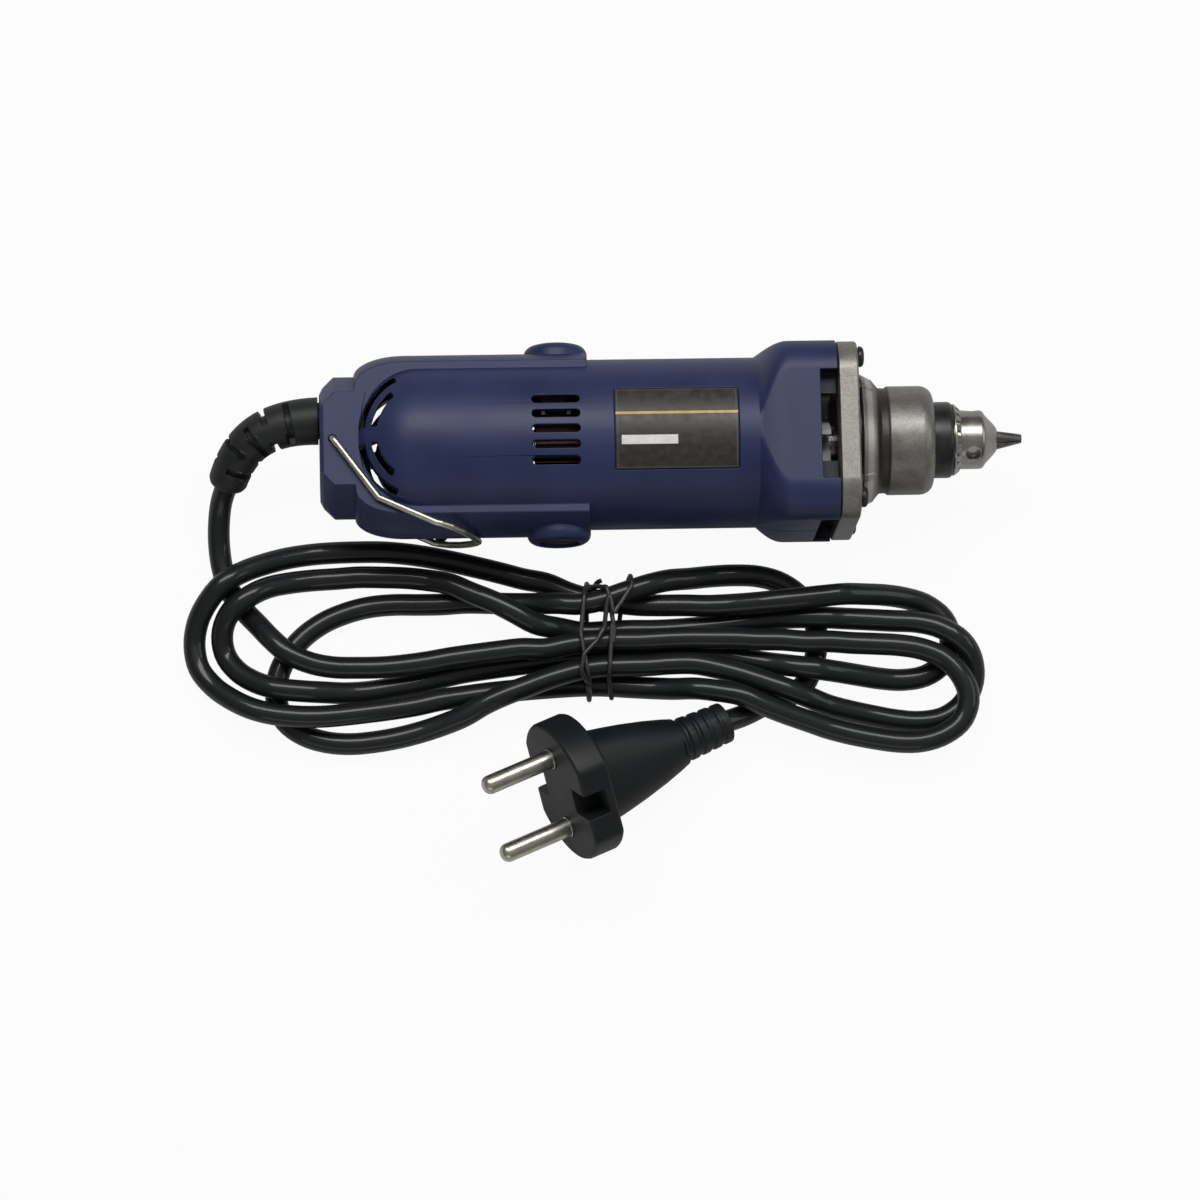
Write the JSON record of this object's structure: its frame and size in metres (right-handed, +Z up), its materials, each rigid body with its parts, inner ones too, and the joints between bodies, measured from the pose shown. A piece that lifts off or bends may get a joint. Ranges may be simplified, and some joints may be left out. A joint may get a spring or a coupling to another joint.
{
  "type": "mains mini drill",
  "caption": "Slim mains hobby drill with a square-flanged nose, keyed three-jaw chuck, wire hanging bail, and a tied cord with a round plug.",
  "frame": {"origin": "on the table, under the middle of the tool's outline, cord left out", "axes": "+X along the tool's axis towards the chuck, +Z up, +Y away from the cord's hank"},
  "size_m": [0.2115, 0.1297, 0.0456],
  "materials": {
    "housing": "satin navy, with a soft sheen",
    "casting": "as cast, blasted warm grey",
    "steel": "ground",
    "chuck_steel": "turned and polished",
    "dark_steel": "blackened",
    "dark_screws": "blackened",
    "black_plastic": "moulded black",
    "black_rubber": "moulded, slightly shiny",
    "cord": "glossy black jacket",
    "tie": "plastic-coated wire",
    "nickel": "nickel plate",
    "label": "bare charcoal foil",
    "fan_plastic": "moulded light grey",
    "copper": "enamelled copper wire",
    "lamination": "stacked steel sheets",
    "carbon": "sintered carbon",
    "brass": "drawn tube",
    "board": "coated board"
  },
  "bodies": {
    "tool": {"housing_upper": "housing", "housing_lower": "housing", "housing_screw_1": "dark_screws", "housing_screw_2": "dark_screws", "housing_screw_3": "dark_screws", "nose_casting": "casting", "nose_screw_1": "dark_screws", "nose_screw_2": "dark_screws", "nose_screw_3": "dark_screws", "nose_screw_4": "dark_screws", "air_baffle": "black_plastic", "label_plate": "label", "brush_cap_left": "black_plastic", "brush_cap_right": "black_plastic", "brush_holder_left": "brass", "brush_holder_right": "brass", "brush_spring_left": "steel", "brush_spring_right": "steel", "carbon_brush_left": "carbon", "carbon_brush_right": "carbon", "stator_core": "lamination", "field_coil_upper": "copper", "field_coil_lower": "copper", "front_bearing_outer_ring": "steel", "rear_bearing_outer_ring": "steel", "switch_body": "black_plastic", "control_board": "board", "strain_relief": "black_rubber", "cord_inside": "cord", "cord_clamp": "black_plastic", "cord_lead": "cord", "cord_hank": "cord", "cord_tail": "cord", "cord_tie": "tie", "plug_body": "black_rubber", "plug_pin_left": "nickel", "plug_pin_right": "nickel"},
    "rotor": {"armature_shaft": "steel", "armature_core": "lamination", "armature_winding_rear": "copper", "armature_winding_front": "copper", "commutator": "copper", "cooling_fan": "fan_plastic", "front_bearing_inner_ring": "steel", "rear_bearing_inner_ring": "steel", "chuck_body": "chuck_steel"},
    "sleeve": {"chuck_sleeve": "dark_steel", "chuck_gear_ring": "chuck_steel", "jaw_nut_upper": "steel", "jaw_nut_lower": "steel"},
    "jaw_1": {"chuck_jaw_1": "dark_steel"},
    "jaw_2": {"chuck_jaw_2": "dark_steel"},
    "jaw_3": {"chuck_jaw_3": "dark_steel"},
    "bail": {"hanging_bail": "nickel"},
    "rocker": {"switch_rocker": "black_plastic"},
    "dial": {"speed_dial": "black_plastic"}
  },
  "joints": [
    {"name": "rotor_spin", "type": "hinge", "parent": "tool", "child": "rotor", "pos_m": [0, 0, 0.0228], "axis": [1, 0, 0], "continuous": true},
    {"name": "sleeve_turn", "type": "hinge", "parent": "rotor", "child": "sleeve", "pos_m": [0.065, 0, 0.0228], "axis": [1, 0, 0], "range_deg": [0, 2304]},
    {"name": "jaw_1_slide", "type": "slide", "parent": "rotor", "child": "jaw_1", "axis": [-0.9703, -0.2382, -0.042], "range_m": [0, 0.0064]},
    {"name": "jaw_2_slide", "type": "slide", "parent": "rotor", "child": "jaw_2", "axis": [-0.9703, 0.1555, -0.1853], "range_m": [-0.00001, 0.00641]},
    {"name": "jaw_3_slide", "type": "slide", "parent": "rotor", "child": "jaw_3", "axis": [-0.9703, 0.0827, 0.2273], "range_m": [-0.00001, 0.00641]},
    {"name": "bail_swing", "type": "hinge", "parent": "tool", "child": "bail", "pos_m": [-0.0852, 0, 0.0228], "axis": [0, 0, 1], "range_deg": [-60, 0]},
    {"name": "switch_rock", "type": "hinge", "parent": "tool", "child": "rocker", "pos_m": [-0.0453, 0, 0.0046], "axis": [0, 1, 0], "range_deg": [0, 12]},
    {"name": "dial_turn", "type": "hinge", "parent": "tool", "child": "dial", "pos_m": [-0.0627, 0, 0.0088], "axis": [0, 1, 0], "range_deg": [0, 270]}
  ],
  "couplings": [
    {"joint": "sleeve_turn", "follows": "jaw_1_slide", "rad_per_m": 6283},
    {"joint": "jaw_2_slide", "follows": "jaw_1_slide", "ratio": 1},
    {"joint": "jaw_3_slide", "follows": "jaw_1_slide", "ratio": 1}
  ]
}
